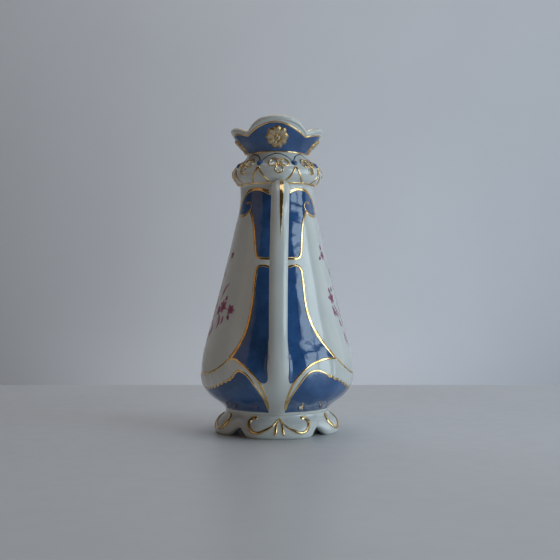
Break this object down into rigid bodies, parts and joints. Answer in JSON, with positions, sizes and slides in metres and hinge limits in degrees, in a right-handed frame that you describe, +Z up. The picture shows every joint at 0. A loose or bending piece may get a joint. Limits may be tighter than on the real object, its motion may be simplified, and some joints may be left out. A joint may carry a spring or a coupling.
{
  "type": "flower vase",
  "caption": "Tall drop-shaped porcelain vase for cut flowers, with a scalloped foot, pierced collar, flaring lobed mouth, slim strap handles, gilded reliefs and painted panels.",
  "frame": {"origin": "centre of the base, on the surface the vase stands on", "axes": "+Z up along the vase's axis, the handles at -Y (front) and +Y (back), +X to the right when the front handle faces the viewer"},
  "size_m": [0.122, 0.14, 0.2503],
  "materials": {
    "white_porcelain": "clear glossy glaze over white porcelain, thin gilt lines",
    "painted_porcelain": "white panels with pink flowers and cobalt blue fields under a glossy glaze, edged with gilding",
    "blue_glaze": "glossy cobalt blue glaze",
    "gilding": "porcelain relief with brushed-on bright gilding, a little worn"
  },
  "bodies": {
    "root": {"foot": "white_porcelain", "belly": "painted_porcelain", "collar": "white_porcelain", "mouth": "blue_glaze", "handle_front": "white_porcelain", "handle_back": "white_porcelain", "flower_medallion_front": "gilding", "flower_medallion_right": "gilding", "flower_medallion_back": "gilding", "flower_medallion_left": "gilding", "foot_scroll_front": "gilding", "foot_scroll_right": "gilding", "foot_scroll_back": "gilding", "foot_scroll_left": "gilding", "collar_bead_1": "blue_glaze", "collar_bead_2": "blue_glaze", "collar_bead_3": "blue_glaze", "collar_bead_4": "blue_glaze", "collar_bead_5": "blue_glaze", "collar_bead_6": "blue_glaze", "collar_bead_7": "blue_glaze", "collar_bead_8": "blue_glaze", "collar_chevron_1": "gilding", "collar_chevron_2": "gilding", "collar_chevron_3": "gilding", "collar_chevron_4": "gilding", "collar_chevron_5": "gilding", "collar_chevron_6": "gilding", "collar_chevron_7": "gilding", "collar_chevron_8": "gilding"}
  },
  "joints": []
}
